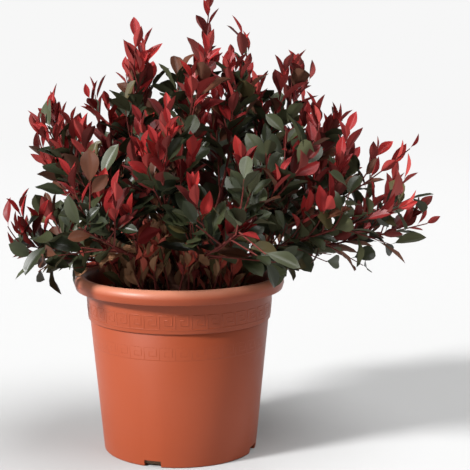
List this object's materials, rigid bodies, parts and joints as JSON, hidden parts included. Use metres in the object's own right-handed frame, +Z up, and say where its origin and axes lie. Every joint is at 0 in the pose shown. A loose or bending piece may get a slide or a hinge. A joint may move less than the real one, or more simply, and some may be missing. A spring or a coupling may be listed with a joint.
{
  "type": "potted dwarf photinia",
  "caption": "Young evergreen photinia shrub with red new shoots over dark green leaves, growing in a round terracotta-coloured plastic pot with a rolled lip.",
  "frame": {"origin": "centre of the pot's flat underside", "axes": "+Z up along the pot's axis, -Y towards the front that the picture shows, +X to its right"},
  "size_m": [0.5844, 0.5322, 0.5923],
  "materials": {
    "terracotta_plastic": "satin moulded plastic, terracotta coloured",
    "compost": "loose dark bark compost",
    "bark": "rough brown bark",
    "young_bark": "smooth red-brown young bark",
    "green_foliage": "leathery dark green leaves",
    "bronze_foliage": "leaves turning from bronze to green",
    "red_foliage": "glossy young red leaves"
  },
  "bodies": {
    "root": {"pot": "terracotta_plastic", "soil": "compost", "trunk": "bark", "stem_1": "bark", "bough_1_low": "young_bark", "foliage_1_low": "green_foliage", "bough_1_mid": "young_bark", "foliage_1_mid": "bronze_foliage", "bough_1_high": "young_bark", "foliage_1_high": "red_foliage", "stem_2": "bark", "bough_2_low": "young_bark", "foliage_2_low": "green_foliage", "bough_2_mid": "young_bark", "foliage_2_mid": "bronze_foliage", "bough_2_high": "young_bark", "foliage_2_high": "red_foliage", "stem_3": "bark", "bough_3_low": "young_bark", "foliage_3_low": "green_foliage", "bough_3_mid": "young_bark", "foliage_3_mid": "bronze_foliage", "bough_3_high": "young_bark", "foliage_3_high": "red_foliage", "stem_4": "bark", "bough_4_low": "young_bark", "foliage_4_low": "green_foliage", "bough_4_mid": "young_bark", "foliage_4_mid": "bronze_foliage", "bough_4_high": "young_bark", "foliage_4_high": "red_foliage", "stem_5": "bark", "bough_5_low": "young_bark", "foliage_5_low": "green_foliage", "bough_5_mid": "young_bark", "foliage_5_mid": "bronze_foliage", "bough_5_high": "young_bark", "foliage_5_high": "red_foliage", "stem_6": "bark", "bough_6_low": "young_bark", "foliage_6_low": "green_foliage", "bough_6_mid": "young_bark", "foliage_6_mid": "bronze_foliage", "bough_6_high": "young_bark", "foliage_6_high": "red_foliage", "stem_7": "bark", "bough_7_low": "young_bark", "foliage_7_low": "green_foliage", "bough_7_mid": "young_bark", "foliage_7_mid": "bronze_foliage", "bough_7_high": "young_bark", "foliage_7_high": "red_foliage", "stem_8": "bark", "bough_8_low": "young_bark", "foliage_8_low": "green_foliage", "bough_8_mid": "young_bark", "foliage_8_mid": "bronze_foliage", "bough_8_high": "young_bark", "foliage_8_high": "red_foliage"}
  },
  "joints": []
}
